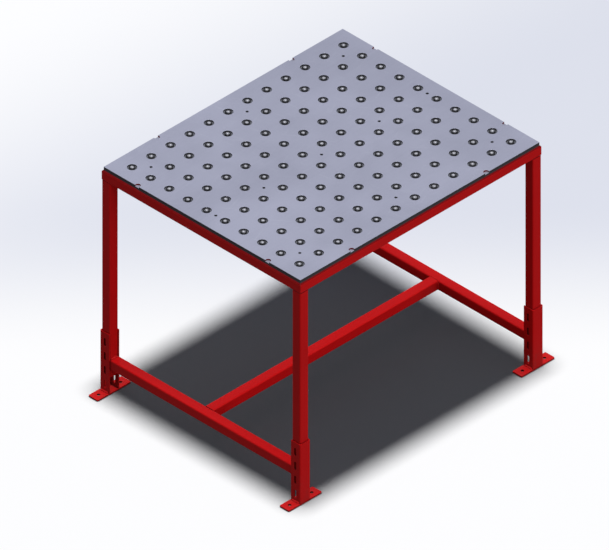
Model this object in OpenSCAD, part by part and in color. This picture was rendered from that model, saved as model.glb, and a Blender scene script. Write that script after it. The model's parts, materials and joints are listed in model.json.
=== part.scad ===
// Welding and sheet-metal table: a two-layer steel top with a grid of ball transfer units,
// on a welded square-tube frame whose four legs stand in slotted, height-adjustable feet.
// Millimetres, +Z up, X along the table's length. The origin is on the floor under its middle.

/* [Top] */
// Length of the two steel sheets (X)
top_l = 1150; // [1100:10:1400]
// Width of the two steel sheets (Y)
top_w = 946; // [920:2:1100]
// Height of the upper sheet's surface above the floor
top_height = 930; // [800:10:1000]
// Thickness of the upper sheet
upper_sheet_t = 6; // [5:0.5:8]
// Thickness of the lower sheet, which carries the ball units
lower_sheet_t = 8; // [6:0.5:10]
// Diameter of the round cut-outs in the upper sheet's edges
cutout_d = 20.4; // [16:0.2:24]
// Distance from the upper sheet's edge in to the middle of a cut-out
cutout_inset = 4.6; // [0:0.2:6]

/* [Ball units] */
// Distance between ball units along the length
pitch_x = 92.5; // [80:0.5:93]
// Distance between ball units along the width
pitch_y = 89.5; // [80:0.5:91]
// Diameter of a load ball
ball_d = 15.9; // [15.5:0.1:16]
// Height of a load ball's top above the upper sheet
ball_rise = 4.1; // [3.5:0.1:4.5]
// Diameter of a cup's body and of its hole in the lower sheet
cup_d = 24; // [23.5:0.1:25]
// Diameter of a cup's flange
flange_d = 34.6; // [31:0.2:35]
// Diameter of the flange's clearance hole in the upper sheet
seat_d = 36; // [35.5:0.1:38]

/* [Frame] */
// Outer size of the square tube
tube = 40; // [35:1:45]
// Wall thickness of the square tube
tube_wall = 3; // [2:0.5:4]
// Outer corner radius of the square tube
tube_r = 5; // [4:0.5:6]
// How far the frame stands out past the sheets on each side
rail_margin = 5; // [0:1:10]
// Height of a leg's lower end above the floor
leg_end_z = 70; // [60:2:76]
// Height of the stretchers' underside above the floor
stretcher_z = 104; // [90:2:140]

/* [Feet] */
// Height of a foot channel above its base plate
channel_h = 245; // [240:5:300]
// Thickness of a foot channel's wall
channel_wall = 4; // [3:0.5:5]
// Depth of a foot channel, from its web to the edge of its flanges
channel_depth = 45; // [44.5:0.5:50]
// Gap between a leg and its foot channel
slide_gap = 0.3; // [0.2:0.1:0.5]
// Width of a slot
slot_w = 10; // [9:0.5:12]
// Length of a slot, end to end
slot_l = 33; // [28:1:36]
// Distance from one slot to the next
slot_pitch = 58; // [50:1:58]
// Length of a base plate
base_l = 160; // [150:5:200]
// Thickness of a base plate
base_t = 6; // [5:1:10]
// Diameter of a base plate's floor holes
floor_hole_d = 12; // [10:1:14]
// Distance between a base plate's two floor holes
floor_hole_gap = 106; // [100:1:115]

/* [Fasteners] */
// Thread diameter of the sheet screws
sheet_screw_d = 6; // [5:1:6]
// Thread diameter of the foot bolts
bolt_d = 8; // [6:1:8]

/* [Hidden] */
$fn = 64;

eps = 1;                        // how far a cutter runs past the face it cuts
paint = [0.80, 0.04, 0.04];
sheet_grey = [0.64, 0.65, 0.73];
zinc = [0.72, 0.73, 0.75];
dark_steel = [0.16, 0.16, 0.18];

// Levels
seam_z = top_height - upper_sheet_t;
frame_top_z = seam_z - lower_sheet_t;
rail_z = frame_top_z - tube;

// Frame
frame_l = top_l + 2 * rail_margin;
frame_w = top_w + 2 * rail_margin;
leg_x = frame_l / 2 - tube / 2;
leg_y = frame_w / 2 - tube / 2;
inside_l = frame_l - 2 * tube;
inside_w = frame_w - 2 * tube;

// Ball grid: columns run along X, rows run along Y from the front
columns = 12;
rows = 10;
column_x = [for (i = [0:columns - 1]) (i - (columns - 1) / 2) * pitch_x];
row_y = [for (j = [0:rows - 1]) (j - (rows - 1) / 2) * pitch_y];

// Ball unit, measured from the upper sheet's surface
ball_r = ball_d / 2;
ball_z = top_height + ball_rise - ball_r;
flange_t = 2.8;
cup_below_seam = 12;            // depth of a cup's body under its flange
bed_t = 2;                      // thickness of the bed of bearing balls
bed_gap = 0.2;                  // running gap between a load ball and its bed
cap_lip_z = top_height + 0.6;   // top of the cap round the ball
cap_t = 0.8;
cap_gap = 0.25;                 // gap between a load ball and the cap's mouth
cap_mouth_r = sqrt(pow(ball_r, 2) - pow(cap_lip_z - cap_t - ball_z, 2)) + cap_gap;
cavity_r = ball_r + bed_gap + bed_t;

// Ribs stand under the sheets, halfway between rows of ball units
rib_y = 4 * pitch_y;
screw_columns = [-5, 0, 5];
middle_screw_columns = [-5.5, -3, 0, 3, 5.5];
cutout_steps = [-3.5, 3.5];     // where the edge cut-outs stand, in pitches from the middle
screw_places = concat(
    [for (side = [-1, 1]) for (c = screw_columns) [c * pitch_x, side * rib_y]],
    [for (c = middle_screw_columns) [c * pitch_x, 0]]
);
screw_head_d = 1.85 * sheet_screw_d;
screw_head_t = (screw_head_d - sheet_screw_d) / 2;
screw_key = 0.6 * sheet_screw_d;
screw_tip_z = frame_top_z - 5;

// Feet
channel_outer_w = tube + 2 * (slide_gap + channel_wall);
web_y = leg_y + tube / 2 + slide_gap + channel_wall;    // outer face of the web
slot_count = 4;
first_slot_z = base_t + 31;
bolt_slots = [1, 3];            // the slots that hold a bolt, counted from 0 at the bottom
bolt_lift = (slot_l - bolt_d) / 2 - 1.5;    // a bolt stands this far above the middle of its slot
bolt_zs = [for (s = bolt_slots) first_slot_z + s * slot_pitch + bolt_lift];
washer_d = 3 * bolt_d;
washer_t = 2;
bolt_head_w = 1.625 * bolt_d;   // across the flats
bolt_head_t = 0.65 * bolt_d;
nut_t = 0.8 * bolt_d;
bolt_reach = channel_wall + slide_gap + tube_wall + nut_t + 2;
flange_x = channel_outer_w / 2; // outer face of a channel's flange, from the leg's middle

// ---- shared shapes ----

module rounded_square(w, h, r) {
    square([w - 2 * r, h], center = true);
    square([w, h - 2 * r], center = true);
    for (x = [-1, 1]) for (y = [-1, 1])
        translate([x * (w / 2 - r), y * (h / 2 - r)]) circle(r);
}

module tube_section() {
    difference() {
        rounded_square(tube, tube, tube_r);
        rounded_square(tube - 2 * tube_wall, tube - 2 * tube_wall, tube_r - tube_wall);
    }
}

module tube_along_z(length) {
    linear_extrude(length) tube_section();
}

module tube_along_x(length) {
    translate([-length / 2, 0, tube / 2]) rotate([90, 0, 90]) linear_extrude(length) tube_section();
}

// A frame rail along X, its outer side at -Y, cut to a mitre at both ends
module mitred_rail(length) {
    intersection() {
        translate([0, tube / 2, 0]) tube_along_x(length);
        translate([0, 0, -eps]) linear_extrude(tube + 2 * eps)
            polygon([
                [-length / 2, 0], [length / 2, 0],
                [length / 2 - tube, tube], [tube - length / 2, tube]
            ]);
    }
}

module hex_prism(across_flats, height) {
    cylinder(h = height, d = across_flats / cos(30), $fn = 6);
}

// ---- top ----

module at_ball_units(height = 0) {
    for (x = column_x) for (y = row_y) translate([x, y, height]) children();
}

module at_screws(height = 0) {
    for (p = screw_places) translate([p[0], p[1], height]) children();
}

// A sheet with a hole for every ball unit and every screw
module sheet(thickness, hole_d) {
    linear_extrude(thickness) difference() {
        square([top_l, top_w], center = true);
        for (x = column_x) for (y = row_y) translate([x, y]) circle(d = hole_d);
        for (p = screw_places) translate(p) circle(d = sheet_screw_d);
    }
}

// Puts an upright cutter at the round cut-outs, two in each edge of the upper sheet
module at_edge_cutouts() {
    for (step = cutout_steps) for (side = [-1, 1]) {
        translate([step * pitch_x, side * (top_w / 2 - cutout_inset), seam_z - eps]) children();
        translate([side * (top_l / 2 - cutout_inset), step * pitch_y, seam_z - eps]) children();
    }
}

module top_sheet() {
    color(sheet_grey) difference() {
        translate([0, 0, seam_z]) sheet(upper_sheet_t, seat_d);
        at_edge_cutouts() cylinder(h = upper_sheet_t + 2 * eps, d = cutout_d);
        at_screws(top_height - screw_head_t)
            cylinder(h = screw_head_t, d1 = sheet_screw_d, d2 = screw_head_d);
    }
}

module backing_sheet() {
    color(sheet_grey) translate([0, 0, frame_top_z]) sheet(lower_sheet_t, cup_d);
}

module sheet_screws() {
    color(dark_steel) at_screws() difference() {
        union() {
            translate([0, 0, top_height - screw_head_t])
                cylinder(h = screw_head_t, d1 = sheet_screw_d, d2 = screw_head_d);
            translate([0, 0, screw_tip_z])
                cylinder(h = top_height - screw_head_t - screw_tip_z, d = sheet_screw_d);
        }
        translate([0, 0, top_height - screw_head_t]) hex_prism(screw_key, screw_head_t + eps);
    }
}

// ---- ball units ----

module ball_cups() {
    color(zinc) at_ball_units() difference() {
        union() {
            translate([0, 0, seam_z - cup_below_seam]) cylinder(h = cup_below_seam, d = cup_d);
            translate([0, 0, seam_z]) cylinder(h = flange_t, d = flange_d);
            translate([0, 0, seam_z]) cylinder(h = ball_z - seam_z, d = cup_d - 2 * cap_t);
        }
        translate([0, 0, ball_z]) sphere(cavity_r);
    }
}

// A pressed cap: a skirt round the cup and a lip that keeps the ball in
module ball_caps() {
    cap_r = cup_d / 2;
    skirt_z = seam_z + flange_t;
    color(dark_steel) at_ball_units() rotate_extrude() polygon([
        [cap_r - cap_t, skirt_z], [cap_r, skirt_z], [cap_r, cap_lip_z - cap_t],
        [cap_r - cap_t, cap_lip_z], [cap_mouth_r, cap_lip_z],
        [cap_mouth_r, cap_lip_z - cap_t], [cap_r - cap_t, cap_lip_z - cap_t]
    ]);
}

// The packed bed of small bearing balls under each load ball, as one bowl
module bearing_beds() {
    color(dark_steel) at_ball_units(ball_z) intersection() {
        difference() {
            sphere(cavity_r);
            sphere(cavity_r - bed_t);
        }
        translate([0, 0, -cavity_r]) cylinder(h = cavity_r, r = cavity_r);
    }
}

module ball_row(number) {
    color(zinc) for (x = column_x) translate([x, row_y[number - 1], ball_z]) sphere(ball_r);
}

// ---- frame ----

module front_rail() {
    color(paint) translate([0, -frame_w / 2, rail_z]) mitred_rail(frame_l);
}

module back_rail() {
    color(paint) translate([0, frame_w / 2, rail_z]) rotate([0, 0, 180]) mitred_rail(frame_l);
}

module left_rail() {
    color(paint) translate([-frame_l / 2, 0, rail_z]) rotate([0, 0, -90]) mitred_rail(frame_w);
}

module right_rail() {
    color(paint) translate([frame_l / 2, 0, rail_z]) rotate([0, 0, 90]) mitred_rail(frame_w);
}

// A rib between the left and right rails, tapped for the sheet screws above it
module rib(y) {
    color(paint) difference() {
        translate([0, y, rail_z]) tube_along_x(inside_l);
        at_screws(frame_top_z - tube / 2) cylinder(h = tube, d = sheet_screw_d);
    }
}

// A leg, bored through its +X wall for the two foot bolts
module leg(side_x, side_y) {
    color(paint) translate([side_x * leg_x, side_y * leg_y, 0]) difference() {
        translate([0, 0, leg_end_z]) tube_along_z(rail_z - leg_end_z);
        for (z = bolt_zs) translate([0, 0, z]) rotate([0, 90, 0]) cylinder(h = tube, d = bolt_d);
    }
}

module cross_stretcher(side_x) {
    color(paint) translate([side_x * leg_x, 0, stretcher_z]) rotate([0, 0, 90]) tube_along_x(inside_w);
}

module long_stretcher() {
    color(paint) translate([0, 0, stretcher_z]) tube_along_x(inside_l);
}

// ---- feet ----

// Section of a foot channel, its web's outer face on y = 0 and open towards +Y
module channel_section() {
    bend_r = channel_wall + 1;
    difference() {
        union() {
            translate([-channel_outer_w / 2, bend_r]) square([channel_outer_w, channel_depth - bend_r]);
            translate([bend_r - channel_outer_w / 2, 0]) square([channel_outer_w - 2 * bend_r, bend_r]);
            for (x = [-1, 1]) translate([x * (channel_outer_w / 2 - bend_r), bend_r]) circle(bend_r);
        }
        translate([channel_wall - channel_outer_w / 2, channel_wall])
            square([channel_outer_w - 2 * channel_wall, channel_depth]);
    }
}

// An upright slot cut through both flanges
module slot_cutter() {
    straight = slot_l - slot_w;
    rotate([0, 90, 0]) linear_extrude(2 * channel_outer_w, center = true) {
        square([straight, slot_w], center = true);
        for (end = [-1, 1]) translate([end * straight / 2, 0]) circle(d = slot_w);
    }
}

// Puts a foot piece drawn with its web at y = 0 under the leg on the given sides
module at_foot(side_x, side_y) {
    translate([side_x * leg_x, side_y * web_y, 0]) rotate([0, 0, side_y > 0 ? 180 : 0]) children();
}

module foot_channel(side_x, side_y) {
    leg_middle = channel_wall + slide_gap + tube / 2;
    color(paint) at_foot(side_x, side_y) difference() {
        translate([0, 0, base_t]) linear_extrude(channel_h) channel_section();
        for (s = [0:slot_count - 1])
            translate([0, leg_middle, first_slot_z + s * slot_pitch]) slot_cutter();
    }
}

module base_plate(side_x, side_y) {
    corner_r = 4;
    color(paint) at_foot(side_x, side_y) translate([0, channel_depth / 2, 0])
        linear_extrude(base_t) difference() {
            rounded_square(base_l, channel_depth, corner_r);
            for (x = [-1, 1]) translate([x * floor_hole_gap / 2, 0]) circle(d = floor_hole_d);
        }
}

// ---- foot fasteners, all on the +X side of the legs ----

// Repeats a piece drawn along +X from x = 0 at every foot bolt, at a distance from the leg's middle
module at_foot_bolts(from_leg_middle) {
    for (side_x = [-1, 1]) for (side_y = [-1, 1]) for (z = bolt_zs)
        translate([side_x * leg_x + from_leg_middle, side_y * leg_y, z]) rotate([0, 90, 0]) children();
}

module foot_bolts() {
    color(zinc) at_foot_bolts(flange_x + washer_t) {
        hex_prism(bolt_head_w, bolt_head_t);
        translate([0, 0, -washer_t - bolt_reach]) cylinder(h = washer_t + bolt_reach, d = bolt_d);
    }
}

module foot_washers() {
    color(zinc) at_foot_bolts(flange_x) difference() {
        cylinder(h = washer_t, d = washer_d);
        translate([0, 0, -eps]) cylinder(h = washer_t + 2 * eps, d = bolt_d);
    }
}

// Nuts welded inside the legs' +X walls
module weld_nuts() {
    color(zinc) at_foot_bolts(tube / 2 - tube_wall - nut_t) difference() {
        hex_prism(bolt_head_w, nut_t);
        translate([0, 0, -eps]) cylinder(h = nut_t + 2 * eps, d = bolt_d);
    }
}

top_sheet();
backing_sheet();
sheet_screws();
front_rail();
back_rail();
left_rail();
right_rail();
rib(-rib_y);  // front_rib
rib(0);  // middle_rib
rib(rib_y);  // back_rib
leg(-1, -1);  // front_left_leg
leg(1, -1);  // front_right_leg
leg(-1, 1);  // back_left_leg
leg(1, 1);  // back_right_leg
cross_stretcher(-1);  // left_stretcher
cross_stretcher(1);  // right_stretcher
long_stretcher();
foot_channel(-1, -1);  // front_left_channel
foot_channel(1, -1);  // front_right_channel
foot_channel(-1, 1);  // back_left_channel
foot_channel(1, 1);  // back_right_channel
base_plate(-1, -1);  // front_left_base
base_plate(1, -1);  // front_right_base
base_plate(-1, 1);  // back_left_base
base_plate(1, 1);  // back_right_base
foot_bolts();
foot_washers();
weld_nuts();
ball_cups();
ball_caps();
bearing_beds();
ball_row(1);  // ball_row_1
ball_row(2);  // ball_row_2
ball_row(3);  // ball_row_3
ball_row(4);  // ball_row_4
ball_row(5);  // ball_row_5
ball_row(6);  // ball_row_6
ball_row(7);  // ball_row_7
ball_row(8);  // ball_row_8
ball_row(9);  // ball_row_9
ball_row(10);  // ball_row_10
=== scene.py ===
import json
import math

import bmesh
import bpy
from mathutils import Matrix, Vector


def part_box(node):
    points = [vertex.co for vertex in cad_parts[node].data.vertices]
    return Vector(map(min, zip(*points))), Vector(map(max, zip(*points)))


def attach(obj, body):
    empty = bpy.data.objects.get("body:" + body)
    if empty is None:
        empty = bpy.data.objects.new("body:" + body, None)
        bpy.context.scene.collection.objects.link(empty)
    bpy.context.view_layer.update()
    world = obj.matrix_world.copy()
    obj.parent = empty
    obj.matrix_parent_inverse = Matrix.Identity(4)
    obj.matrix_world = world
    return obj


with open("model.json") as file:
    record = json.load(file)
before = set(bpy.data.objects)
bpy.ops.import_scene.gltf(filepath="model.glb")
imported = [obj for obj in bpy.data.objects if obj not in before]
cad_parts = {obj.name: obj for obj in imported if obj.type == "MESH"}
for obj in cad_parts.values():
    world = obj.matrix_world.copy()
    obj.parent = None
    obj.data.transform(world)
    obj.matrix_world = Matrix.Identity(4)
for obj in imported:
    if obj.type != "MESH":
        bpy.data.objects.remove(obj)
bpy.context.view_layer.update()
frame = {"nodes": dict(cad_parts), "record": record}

# ---- named values, in metres unless a name says otherwise ----

# View: an orthographic look along the table's front-left diagonal
VIEW_AZIMUTH = -45.0
VIEW_ELEVATION = math.degrees(math.atan(1 / math.sqrt(2)))
VIEW_WIDTH = 2.072
VIEW_SHIFT_RIGHT = -0.058       # from the middle of the table's top, across the view
VIEW_SHIFT_UP = -0.410
VIEW_DISTANCE = 6.0

# Light: lamps high overhead, one for the floor's soft shadow and two for the frame, and side fills
LAMP_HEIGHT = 20.0
LAMP_WIDTH = 2.8
LAMP_LIGHT = 3.35               # what reaches the floor, in watts per square metre
FRAME_LIGHT = 2.8               # the same, for what reaches the red frame
FRAME_SHADED_SHARE = 0.40       # share of the frame's overhead light that the top's shadow can take away
FILLS = {                       # compass angle, elevation, strength
    "front_fill": (0, 12, 1.27),
    "left_fill": (-90, 12, 0.22),
    "back_fill": (180, 12, 1.10),
    "right_fill": (90, 12, 0.80),
}
FILL_SPREAD_DEGREES = 30
SKY_COLOUR = (0.82, 0.87, 1.0)
SKY_FOR_DIFFUSE = 0.08
SKY_FOR_GLOSS = 0.48

# Floor
FLOOR_SIZE = 60.0
# painted light falloff: the floor's tone in front and behind, and a brighter painted pool of light
FLOOR_NEAR = (0.88, 0.88, 0.885)
FLOOR_FAR = (0.655, 0.675, 0.750)
FLOOR_LIGHT_POOL = (0.90, 0.90, 0.91)
RED_FOR_BOUNCE = (0.16, 0.11, 0.11)     # the frame's colour as its bounced light sees it
FLOOR_BOUNCE = 0.14             # share of light that the floor throws back at the table
FLOOR_FADE = (0.10, 1.05)       # distance behind the table's middle over which the floor's tone changes, a painted falloff of light
FLOOR_LIGHT_POOL_FADE = (1.2, 3.1)    # the same for the painted pool of brighter light far off to the left

# Wear, dirt and painted shade
CORNER_REACH = 0.012            # how far from a corner or out of a recess the frame's painted shade reaches
FLOOR_CONTACT_SHADE_REACH = 0.008      # the same for the floor's painted contact shadow where a plate stands on it
DUST_AND_SHADE_HEIGHT = 0.16              # the frame's dust and painted shade, darker towards the floor, thin out up to here
LEDGE_DEPTH = 0.005             # the painted shade along the rails' upper corner, under the sheets' edge, reaches down this far
# deep red painted in as shade in the frame's corners, recesses and the rails' upper corner
PAINTED_SHADE_RED = (0.035, 0.002, 0.003)
# dark brown-red for dust and painted shade low on the frame
DUST_AND_SHADE = (0.13, 0.06, 0.055)
BARE_METAL = (0.16, 0.13, 0.12)

# Edges of the two sheets
SEAM_HALF_WIDTH = 0.0013
CUTOUT_SKIN = 0.0006            # the cut-outs' paint starts this far inside the sheet's edge
CUTOUT_DEPTH = 0.021            # and ends this far inside it
CUTOUT_PAINT = (0.22, 0.004, 0.006)

# Weld beads
BEAD_SIZE = 0.0042
BEAD_PITCH = 0.0026             # length of one ripple
BEAD_STEPS_PER_RIPPLE = 5
BEAD_PROFILE_STEPS = 6
BEAD_SINK = 0.0004              # how far a bead's root lies inside the parts it joins
TUBE_CORNER = 0.005

FEET = ("front_left", "front_right", "back_left", "back_right")


# ---- node helpers ----

def new_material(name):
    material = bpy.data.materials.new(name)
    material.use_nodes = True
    material.node_tree.nodes.clear()
    return material, material.node_tree


def add(tree, kind, settings=None, **inputs):
    """A shader node. An input is given by its name, with _ for a space, as a value or as a socket to link."""
    made = tree.nodes.new("ShaderNode" + kind)
    for name, value in (settings or {}).items():
        setattr(made, name, value)
    for name, value in inputs.items():
        plug(tree, made.inputs[name.replace("_", " ")], value)
    return made


def plug(tree, socket, value):
    if isinstance(value, bpy.types.NodeSocket):
        tree.links.new(value, socket)
    else:
        socket.default_value = value


def maths(tree, operation, *values, clamp=False):
    made = add(tree, "Math", {"operation": operation, "use_clamp": clamp})
    for socket, value in zip(made.inputs, values):
        plug(tree, socket, value)
    return made.outputs[0]


def mix(tree, factor, first, second, blend="MIX"):
    """A colour between two colours."""
    made = add(tree, "Mix", {"data_type": "RGBA", "blend_type": blend})
    plug(tree, made.inputs[0], factor)
    for socket, value in ((made.inputs[6], first), (made.inputs[7], second)):
        plug(tree, socket, value if isinstance(value, bpy.types.NodeSocket) else (*value, 1.0))
    return made.outputs[2]


def ramp(tree, value, low, high, to_low=0.0, to_high=1.0):
    """Maps low..high to to_low..to_high, smoothly and held at both ends."""
    made = add(tree, "MapRange", {"interpolation_type": "SMOOTHSTEP"}, Value=value, From_Min=low,
               From_Max=high, To_Min=to_low, To_Max=to_high)
    return made.outputs[0]


def place(tree):
    """A point's place in the table's frame. All pieces share its origin, so patterns run across them."""
    return add(tree, "TexCoord").outputs["Object"]


def noise(tree, scale, detail=2.0, roughness=0.5, squeeze=(1, 1, 1), turn=0.0, distortion=0.0):
    """Noise about 1/scale across, finer along each axis by its squeeze, with the axes turned about Z."""
    vector = add(tree, "Mapping", {"vector_type": "TEXTURE"}, Vector=place(tree),
                 Scale=[1 / s for s in squeeze], Rotation=(0, 0, turn)).outputs[0]
    return add(tree, "TexNoise", Vector=vector, Scale=scale, Detail=detail, Roughness=roughness,
               Distortion=distortion).outputs["Fac"]


def facing_parts(tree):
    """The sizes of the surface normal's X, Y and Z parts."""
    normal = add(tree, "NewGeometry").outputs["Normal"]
    parts = add(tree, "SeparateXYZ", Vector=normal).outputs
    return [maths(tree, "ABSOLUTE", part) for part in parts]


def height(tree):
    return add(tree, "SeparateXYZ", Vector=place(tree)).outputs[2]


def soft_edge(tree, radius):
    """A normal that rounds sharp edges off, and how far it leans: 0 on a flat, more on an edge."""
    bevel = add(tree, "Bevel", {"samples": 4}, Radius=radius).outputs[0]
    flat = add(tree, "NewGeometry").outputs["Normal"]
    along = add(tree, "VectorMath", {"operation": "DOT_PRODUCT"})
    plug(tree, along.inputs[0], bevel)
    plug(tree, along.inputs[1], flat)
    lean = maths(tree, "SUBTRACT", 1.0, along.outputs["Value"], clamp=True)
    return bevel, lean


def painted_recess_shade(tree, reach):
    """How deep a point sits in a recess or an inner corner, from 0 to 1, for the painted shade laid there."""
    open_share = add(tree, "AmbientOcclusion", {"samples": 8}, Distance=reach).outputs["AO"]
    return ramp(tree, open_share, 0.35, 0.95, 0.90, 0.0)


def bump(tree, value, strength, distance, normal=None):
    made = add(tree, "Bump", Height=value, Strength=strength, Distance=distance)
    if normal is not None:
        plug(tree, made.inputs["Normal"], normal)
    return made.outputs[0]


def surface(tree, **inputs):
    """The Principled shader and the material's output."""
    shader = add(tree, "BsdfPrincipled", **inputs)
    output = add(tree, "OutputMaterial")
    tree.links.new(shader.outputs[0], output.inputs["Surface"])


# ---- materials ----

def red_powder_coat():
    """Red powder coat: orange peel, faint cloudiness, dust and painted shade low down, chips on edges, and
    painted shade in corners, recesses and along the rails' upper corner.
    """
    material, tree = new_material("red_powder_coat")
    cloud = noise(tree, 4.0, detail=3.0)
    red = mix(tree, cloud, (0.56, 0.0045, 0.006), (0.68, 0.007, 0.008))

    specks = noise(tree, 900.0, detail=1.0)
    red = mix(tree, ramp(tree, specks, 0.68, 0.74, 0.0, 0.25), red, (0.30, 0.003, 0.004))

    edge, lean = soft_edge(tree, 0.0012)
    chip_pattern = noise(tree, 260.0, detail=4.0, roughness=0.7)
    rubbed = maths(tree, "MULTIPLY", ramp(tree, lean, 0.04, 0.30), ramp(tree, chip_pattern, 0.56, 0.62))
    red = mix(tree, maths(tree, "MULTIPLY", rubbed, 0.55), red, BARE_METAL)

    # Darker towards the floor, in patches: dust, and painted shade
    dust_and_shade_pattern = noise(tree, 38.0, detail=5.0, roughness=0.65)
    low_down = ramp(tree, height(tree), 0.002, DUST_AND_SHADE_HEIGHT, 1.0, 0.0)
    dust_and_shade = maths(tree, "MULTIPLY", low_down, ramp(tree, dust_and_shade_pattern, 0.45, 0.75, 0.08, 0.30))
    red = mix(tree, dust_and_shade, red, DUST_AND_SHADE)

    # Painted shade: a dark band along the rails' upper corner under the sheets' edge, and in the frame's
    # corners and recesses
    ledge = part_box("front_rail")[1].z
    painted_shade = ramp(tree, height(tree), ledge - LEDGE_DEPTH, ledge - 0.4 * LEDGE_DEPTH, 0.0, 0.80)
    painted_shade = maths(tree, "MAXIMUM", painted_shade, painted_recess_shade(tree, CORNER_REACH))
    red = mix(tree, painted_shade, red, PAINTED_SHADE_RED)
    red = mix(tree, add(tree, "LightPath").outputs["Is Diffuse Ray"], red, RED_FOR_BOUNCE)

    peel = noise(tree, 330.0, detail=1.5)
    grain = noise(tree, 1600.0, detail=1.0)
    normal = bump(tree, peel, 0.10, 0.0006, edge)
    normal = bump(tree, grain, 0.03, 0.0002, normal)
    gloss = maths(tree, "ADD", ramp(tree, cloud, 0.3, 0.7, 0.30, 0.38), maths(tree, "MULTIPLY", dust_and_shade, 0.5))
    surface(tree, Base_Color=red, Roughness=gloss, Normal=normal, Specular_IOR_Level=0.10)
    return material


def cutout_walls(tree, upright, from_seam, corner):
    """1 on the walls of the cut-outs in the upper sheet's edges, for a table whose sheets end at corner."""
    parts = add(tree, "SeparateXYZ", Vector=place(tree)).outputs
    from_edge = maths(tree, "MINIMUM", maths(tree, "SUBTRACT", corner.x, maths(tree, "ABSOLUTE", parts[0])),
                      maths(tree, "SUBTRACT", corner.y, maths(tree, "ABSOLUTE", parts[1])))
    inside = maths(tree, "MULTIPLY", ramp(tree, from_edge, CUTOUT_SKIN - 0.0002, CUTOUT_SKIN + 0.0002),
                   ramp(tree, from_edge, CUTOUT_DEPTH - 0.001, CUTOUT_DEPTH + 0.001, 1.0, 0.0))
    in_upper_sheet = maths(tree, "GREATER_THAN", from_seam, 0.0)
    return maths(tree, "MULTIPLY", maths(tree, "MULTIPLY", upright, inside), in_upper_sheet)


def mill_sheet():
    """Grey steel sheet: rolling grain along its length, faint scratches and stains, dark edges and seam, and
    top edges lightened by wear and a painted highlight.
    """
    material, tree = new_material("mill_sheet")
    streaks = noise(tree, 60.0, detail=4.0, roughness=0.6, squeeze=(0.05, 6.0, 6.0))
    fine = noise(tree, 420.0, detail=2.0, squeeze=(0.06, 3.0, 3.0))
    cloud = noise(tree, 3.2, detail=4.0, roughness=0.55, distortion=0.4)
    grey = mix(tree, streaks, (0.345, 0.350, 0.438), (0.397, 0.402, 0.492))
    grey = mix(tree, ramp(tree, cloud, 0.35, 0.70, 0.0, 0.35), grey, (0.310, 0.316, 0.397))

    scratches = None
    for turn, along in ((0.35, 0.12), (-0.9, 0.09), (1.75, 0.108)):
        lines = noise(tree, 55.0, detail=1.0, squeeze=(along, 9.0, 1.0), turn=turn)
        line = maths(tree, "MULTIPLY", ramp(tree, lines, 0.735, 0.775), 0.5)
        scratches = line if scratches is None else maths(tree, "MAXIMUM", scratches, line)
    grey = mix(tree, scratches, grey, (0.52, 0.54, 0.60))

    upright = ramp(tree, facing_parts(tree)[2], 0.3, 0.7, 1.0, 0.0)
    cut_lines = noise(tree, 500.0, detail=2.0, squeeze=(1.0, 1.0, 0.06))
    cut_steel = mix(tree, cut_lines, (0.045, 0.045, 0.050), (0.105, 0.105, 0.115))
    colour = mix(tree, upright, grey, cut_steel)

    low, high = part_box("top_sheet")
    from_seam = maths(tree, "SUBTRACT", height(tree), low.z)
    colour = mix(tree, cutout_walls(tree, upright, from_seam, high), colour, CUTOUT_PAINT)

    edge, lean = soft_edge(tree, 0.0007)
    near_top = ramp(tree, from_seam, 0.003, 0.004)
    # The top edges turn lighter: worn metal, and a painted highlight
    rubbed = maths(tree, "MULTIPLY", ramp(tree, lean, 0.05, 0.35, 0.0, 0.35), near_top)
    colour = mix(tree, rubbed, colour, (0.50, 0.51, 0.56))
    at_seam = ramp(tree, maths(tree, "ABSOLUTE", from_seam), 0.0005, SEAM_HALF_WIDTH, 0.9, 0.0)
    colour = mix(tree, maths(tree, "MULTIPLY", upright, at_seam), colour, (0.02, 0.02, 0.022))
    relief = maths(tree, "ADD", maths(tree, "MULTIPLY", fine, 0.6), maths(tree, "MULTIPLY", scratches, -0.5))
    sawn = maths(tree, "MULTIPLY", maths(tree, "MULTIPLY", cut_lines, upright), 2.0)
    relief = maths(tree, "ADD", relief, sawn)
    normal = bump(tree, relief, 0.12, 0.0002, edge)
    gloss = ramp(tree, cloud, 0.3, 0.75, 0.40, 0.50)
    gloss = maths(tree, "ADD", gloss, maths(tree, "MULTIPLY", fine, 0.06))
    surface(tree, Base_Color=colour, Roughness=gloss, Normal=normal,
            Metallic=ramp(tree, upright, 0.0, 1.0, 0.80, 0.55))
    return material


def plated_steel(name, base, tint, roughness, strength=0.05):
    """Plated or bare steel in two near tones, with a fine mottle and softened edges."""
    material, tree = new_material(name)
    mottle = noise(tree, 180.0, detail=4.0, roughness=0.6)
    colour = mix(tree, mottle, base, tint)
    edge, lean = soft_edge(tree, 0.0005)
    rubbed_edge = [min(1.0, 1.6 * part + 0.02) for part in base]
    colour = mix(tree, ramp(tree, lean, 0.05, 0.40, 0.0, 0.30), colour, rubbed_edge)
    normal = bump(tree, noise(tree, 1400.0, detail=2.0), strength, 0.0002, edge)
    gloss = ramp(tree, mottle, 0.3, 0.7, roughness * 0.85, roughness * 1.2)
    surface(tree, Base_Color=colour, Roughness=gloss, Normal=normal, Metallic=1.0)
    return material


def load_ball():
    """Hard steel, dulled by the work that rolls over it, with faint contact marks."""
    material, tree = new_material("load_ball")
    marks = noise(tree, 700.0, detail=3.0, roughness=0.7)
    colour = mix(tree, ramp(tree, marks, 0.5, 0.8), (0.28, 0.28, 0.30), (0.21, 0.21, 0.23))
    normal = bump(tree, marks, 0.02, 0.0001)
    surface(tree, Base_Color=colour, Roughness=ramp(tree, marks, 0.35, 0.75, 0.56, 0.70), Normal=normal,
            Metallic=1.0)
    return material


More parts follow.
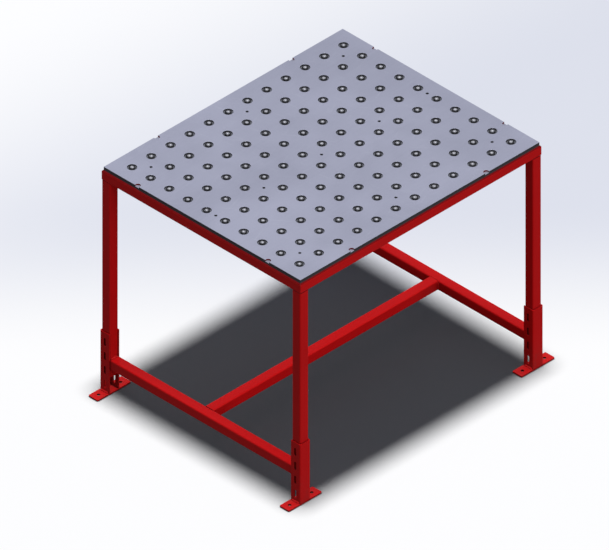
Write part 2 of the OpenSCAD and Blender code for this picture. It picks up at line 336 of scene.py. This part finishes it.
def painted_bead():
    """Weld bead under the red coat: the same red, mottled and a little rougher."""
    material, tree = new_material("painted_bead")
    mottle = noise(tree, 500.0, detail=3.0)
    red = mix(tree, mottle, (0.46, 0.004, 0.005), (0.64, 0.006, 0.008))
    normal = bump(tree, noise(tree, 900.0, detail=2.0), 0.12, 0.0003)
    surface(tree, Base_Color=red, Roughness=ramp(tree, mottle, 0.3, 0.7, 0.46, 0.60), Normal=normal,
            Specular_IOR_Level=0.12)
    return material


def finish_nodes():
    """Gives every CAD node the material of its slot."""
    finishes = {
        "red_paint": red_powder_coat(),
        "sheet_steel": mill_sheet(),
        "zinc": plated_steel("zinc_plate", (0.56, 0.57, 0.58), (0.62, 0.61, 0.55), 0.28),
        "cup_steel": plated_steel("pressed_cup", (0.20, 0.205, 0.23), (0.26, 0.26, 0.28), 0.34),
        "ball_steel": load_ball(),
        "black_steel": plated_steel("black_oxide", (0.028, 0.028, 0.032), (0.045, 0.044, 0.046), 0.42),
    }
    for part in frame["record"]["subparts"]:
        mesh = frame["nodes"][part["node"]].data
        mesh.materials.clear()
        mesh.materials.append(finishes[part["material_slot"]])


# ---- weld beads ----

class BeadMesh:
    """Collects fillet beads that belong to one body, and makes them one piece."""

    def __init__(self):
        self.points = []
        self.faces = []

    def lay(self, start, end, side_a, side_b, size=BEAD_SIZE):
        """A rippled bead from start to end, in the corner that opens towards side_a and side_b."""
        start, end, side_a, side_b = (Vector(v) for v in (start, end, side_a, side_b))
        length = (end - start).length
        forward = (end - start).normalized()
        steps = max(8, round(length / BEAD_PITCH * BEAD_STEPS_PER_RIPPLE))
        profile = BEAD_PROFILE_STEPS + 1
        first = len(self.points)
        for i in range(steps + 1):
            travel = i / steps
            taper = min(1.0, math.sqrt(min(travel, 1 - travel) * length / size + 0.05))
            for j in range(profile):
                share = j / BEAD_PROFILE_STEPS
                crown = 4 * share * (1 - share)
                phase = travel * length / BEAD_PITCH - 0.45 * crown
                ripple = 1 + 0.10 * abs(math.cos(math.pi * phase)) + 0.05 * math.sin(9.1 * travel + first)
                reach = size * taper * ripple
                arc = side_a * (1 - share) + side_b * share + (side_a + side_b) * 0.16 * crown
                self.points.append(start + forward * travel * length + arc * reach)
            self.points.append(start + forward * travel * length - (side_a + side_b) * BEAD_SINK)
        ring = profile + 1
        for i in range(steps):
            for j in range(ring):
                a, b = first + i * ring + j, first + i * ring + (j + 1) % ring
                self.faces.append((a, b, b + ring, a + ring))
        self.faces.append([first + j for j in reversed(range(ring))])
        self.faces.append([first + steps * ring + j for j in range(ring)])

    def make(self, name, body, material):
        mesh = bpy.data.meshes.new(name)
        mesh.from_pydata([tuple(p) for p in self.points], [], self.faces)
        mesh.validate()
        mesh.materials.append(material)
        piece = bpy.data.objects.new(name, mesh)
        bpy.context.scene.collection.objects.link(piece)
        tidy_normals(piece)
        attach(piece, body)
        return piece


def tidy_normals(piece):
    """Turns every face of a closed mesh outwards and smooths its shading."""
    work = bmesh.new()
    work.from_mesh(piece.data)
    bmesh.ops.recalc_face_normals(work, faces=work.faces)
    for face in work.faces:
        face.smooth = len(face.verts) == 4
    work.to_mesh(piece.data)
    work.free()


def sides(low, high, axis):
    """The two ends of a box along an axis, each with the outward direction there."""
    out = Vector((0, 0, 0))
    out[axis] = 1
    return ((low[axis], -out), (high[axis], out))


def weld_tube_end(beads, low, high, run, at, out, cross_axes):
    """Beads along a tube's end at run = at, where the tube meets a face whose outward normal is -out."""
    for axis, other in cross_axes:
        for value, away in sides(low, high, axis):
            start, end = Vector(low), Vector(high)
            start[run] = end[run] = at
            start[axis] = end[axis] = value
            start[other] += TUBE_CORNER
            end[other] -= TUBE_CORNER
            beads.lay(start, end, away, -out)


def weld_frame():
    beads = BeadMesh()
    for node in ("left_stretcher", "right_stretcher"):
        low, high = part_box(node)
        for at, out in sides(low, high, 1):
            weld_tube_end(beads, low, high, 1, at, out, ((2, 0),))
    for node in ("long_stretcher", "front_rib", "middle_rib", "back_rib"):
        low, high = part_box(node)
        for at, out in sides(low, high, 0):
            weld_tube_end(beads, low, high, 0, at, out, ((1, 2),))
    for foot in FEET:
        low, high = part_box(foot + "_leg")
        inward_x = Vector((1 if low.x < 0 else -1, 0, 0))
        inward_y = Vector((0, 1 if low.y < 0 else -1, 0))
        inner_x = high.x if low.x < 0 else low.x
        inner_y = high.y if low.y < 0 else low.y
        down = Vector((0, 0, -1))
        beads.lay((inner_x, low.y + TUBE_CORNER, high.z), (inner_x, high.y - TUBE_CORNER, high.z),
                  down, inward_x)
        beads.lay((low.x + TUBE_CORNER, inner_y, high.z), (high.x - TUBE_CORNER, inner_y, high.z),
                  down, inward_y)
    return beads


def weld_foot(foot):
    """Beads where a foot channel's flanges stand on the base plate."""
    beads = BeadMesh()
    low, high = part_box(foot + "_channel")
    up = Vector((0, 0, 1))
    for at, out in sides(low, high, 0):
        beads.lay((at, low.y + TUBE_CORNER, low.z), (at, high.y - TUBE_CORNER, low.z), up, out)
    return beads


def make_welds():
    red = painted_bead()
    welds = [weld_frame().make("frame_welds", "table", red)]
    for foot in FEET:
        welds.append(weld_foot(foot).make(foot + "_foot_welds", foot + "_foot", red))
    return welds


# ---- light, floor and camera ----

def direction(azimuth, elevation):
    """The unit vector from the table towards a point seen at that azimuth and elevation, in degrees."""
    a, e = math.radians(azimuth), math.radians(elevation)
    return Vector((math.sin(a) * math.cos(e), -math.cos(a) * math.cos(e), math.sin(e)))


def aim(lamp, towards):
    """Puts a lamp into the scene, shining away from the direction given."""
    lamp.rotation_mode = "QUATERNION"
    lamp.rotation_quaternion = (-towards).to_track_quat("-Z", "Y")
    bpy.context.scene.collection.objects.link(lamp)


def add_sun(name, azimuth, elevation, strength, spread, lit):
    light = bpy.data.lights.new(name, "SUN")
    light.energy = strength
    light.angle = math.radians(spread)
    lamp = bpy.data.objects.new(name, light)
    lamp.light_linking.receiver_collection = lit
    aim(lamp, direction(azimuth, elevation))
    return lamp


def add_ceiling_lamp(name, strength, lit=None):
    """A round lamp far above the table. Its strength is what reaches the floor below it."""
    light = bpy.data.lights.new(name, "AREA")
    light.shape = "DISK"
    light.size = LAMP_WIDTH
    light.energy = strength * math.pi * LAMP_HEIGHT ** 2
    lamp = bpy.data.objects.new(name, light)
    lamp.location = (0, 0, LAMP_HEIGHT)
    lamp.light_linking.receiver_collection = lit
    aim(lamp, Vector((0, 0, 1)))
    return lamp


def collect(name, objects):
    group = bpy.data.collections.new(name)
    for piece in objects:
        group.objects.link(piece)
    return group


def make_light(floor, welds):
    """The lamps, each linked to what it lights, and the world. The stretchers add nothing to the shadow."""
    red_nodes = [part["node"] for part in frame["record"]["subparts"] if part["material_slot"] == "red_paint"]
    red = [frame["nodes"][name] for name in red_nodes] + welds
    rest = [piece for name, piece in frame["nodes"].items() if name not in red_nodes]
    red_group = collect("red_pieces", red)
    table = collect("table_pieces", red + rest)
    overhead = add_ceiling_lamp("ceiling_lamp", LAMP_LIGHT, collect("floor_and_top", rest + [floor]))
    casters = [piece for name, piece in frame["nodes"].items() if not name.endswith("_stretcher")]
    overhead.light_linking.blocker_collection = collect("shadow_casters", casters)
    add_ceiling_lamp("frame_lamp", FRAME_LIGHT * FRAME_SHADED_SHARE, red_group)
    soft = add_ceiling_lamp("frame_soft_lamp", FRAME_LIGHT * (1 - FRAME_SHADED_SHARE), red_group)
    soft.data.use_shadow = False
    for name, (azimuth, elevation, strength) in FILLS.items():
        add_sun(name, azimuth, elevation, strength, FILL_SPREAD_DEGREES, table)

    world = bpy.data.worlds.new("studio")
    world.use_nodes = True
    tree = world.node_tree
    tree.nodes.clear()
    rays = add(tree, "LightPath")
    strength = ramp(tree, rays.outputs["Is Glossy Ray"], 0.0, 1.0, SKY_FOR_DIFFUSE, SKY_FOR_GLOSS)
    sky = add(tree, "Background", Color=(*SKY_COLOUR, 1.0), Strength=strength)
    output = add(tree, "OutputWorld")
    tree.links.new(sky.outputs[0], output.inputs["Surface"])
    bpy.context.scene.world = world


def make_floor():
    """A pale floor with painted light: white in front, falling off to a little bluer behind, with a brighter
    painted pool of light far to the left.
    """
    half = FLOOR_SIZE / 2
    mesh = bpy.data.meshes.new("floor")
    corners = [(-half, -half, 0), (half, -half, 0), (half, half, 0), (-half, half, 0)]
    mesh.from_pydata(corners, [], [(0, 1, 2, 3)])
    floor = bpy.data.objects.new("floor", mesh)
    bpy.context.scene.collection.objects.link(floor)
    material, tree = new_material("pale_floor")
    parts = add(tree, "SeparateXYZ", Vector=place(tree)).outputs
    behind = maths(tree, "MULTIPLY", maths(tree, "ADD", parts[0], parts[1]), math.sqrt(0.5))
    left = maths(tree, "MULTIPLY", maths(tree, "SUBTRACT", parts[1], parts[0]), math.sqrt(0.5))
    seen = mix(tree, ramp(tree, behind, *FLOOR_FADE), FLOOR_NEAR, FLOOR_FAR)
    light_pool = ramp(tree, maths(tree, "ADD", behind, maths(tree, "MULTIPLY", left, 0.8)), *FLOOR_LIGHT_POOL_FADE)
    seen = mix(tree, light_pool, seen, FLOOR_LIGHT_POOL)
    # Painted contact shadow: the floor goes dark next to a plate standing on it and inside its holes
    seen = mix(tree, painted_recess_shade(tree, FLOOR_CONTACT_SHADE_REACH), seen, (0.02, 0.02, 0.02))
    rays = add(tree, "LightPath")
    colour = mix(tree, rays.outputs["Is Camera Ray"], (FLOOR_BOUNCE,) * 3, seen)
    shader = add(tree, "BsdfDiffuse", Color=colour)
    output = add(tree, "OutputMaterial")
    tree.links.new(shader.outputs[0], output.inputs["Surface"])
    mesh.materials.append(material)
    return floor


def make_camera():
    data = bpy.data.cameras.new("camera")
    data.type = "ORTHO"
    data.ortho_scale = VIEW_WIDTH
    camera = bpy.data.objects.new("camera", data)
    back = direction(VIEW_AZIMUTH, VIEW_ELEVATION)
    right = direction(VIEW_AZIMUTH + 90, 0)
    up = back.cross(right)
    low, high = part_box("top_sheet")
    middle = Vector(((low.x + high.x) / 2, (low.y + high.y) / 2, high.z))
    camera.location = middle + right * VIEW_SHIFT_RIGHT + up * VIEW_SHIFT_UP + back * VIEW_DISTANCE
    camera.rotation_mode = "QUATERNION"
    camera.rotation_quaternion = (-back).to_track_quat("-Z", "Y")
    bpy.context.scene.collection.objects.link(camera)
    bpy.context.scene.camera = camera


bpy.context.scene.view_settings.view_transform = "Standard"
make_camera()
finish_nodes()
welds = make_welds()
make_light(make_floor(), welds)
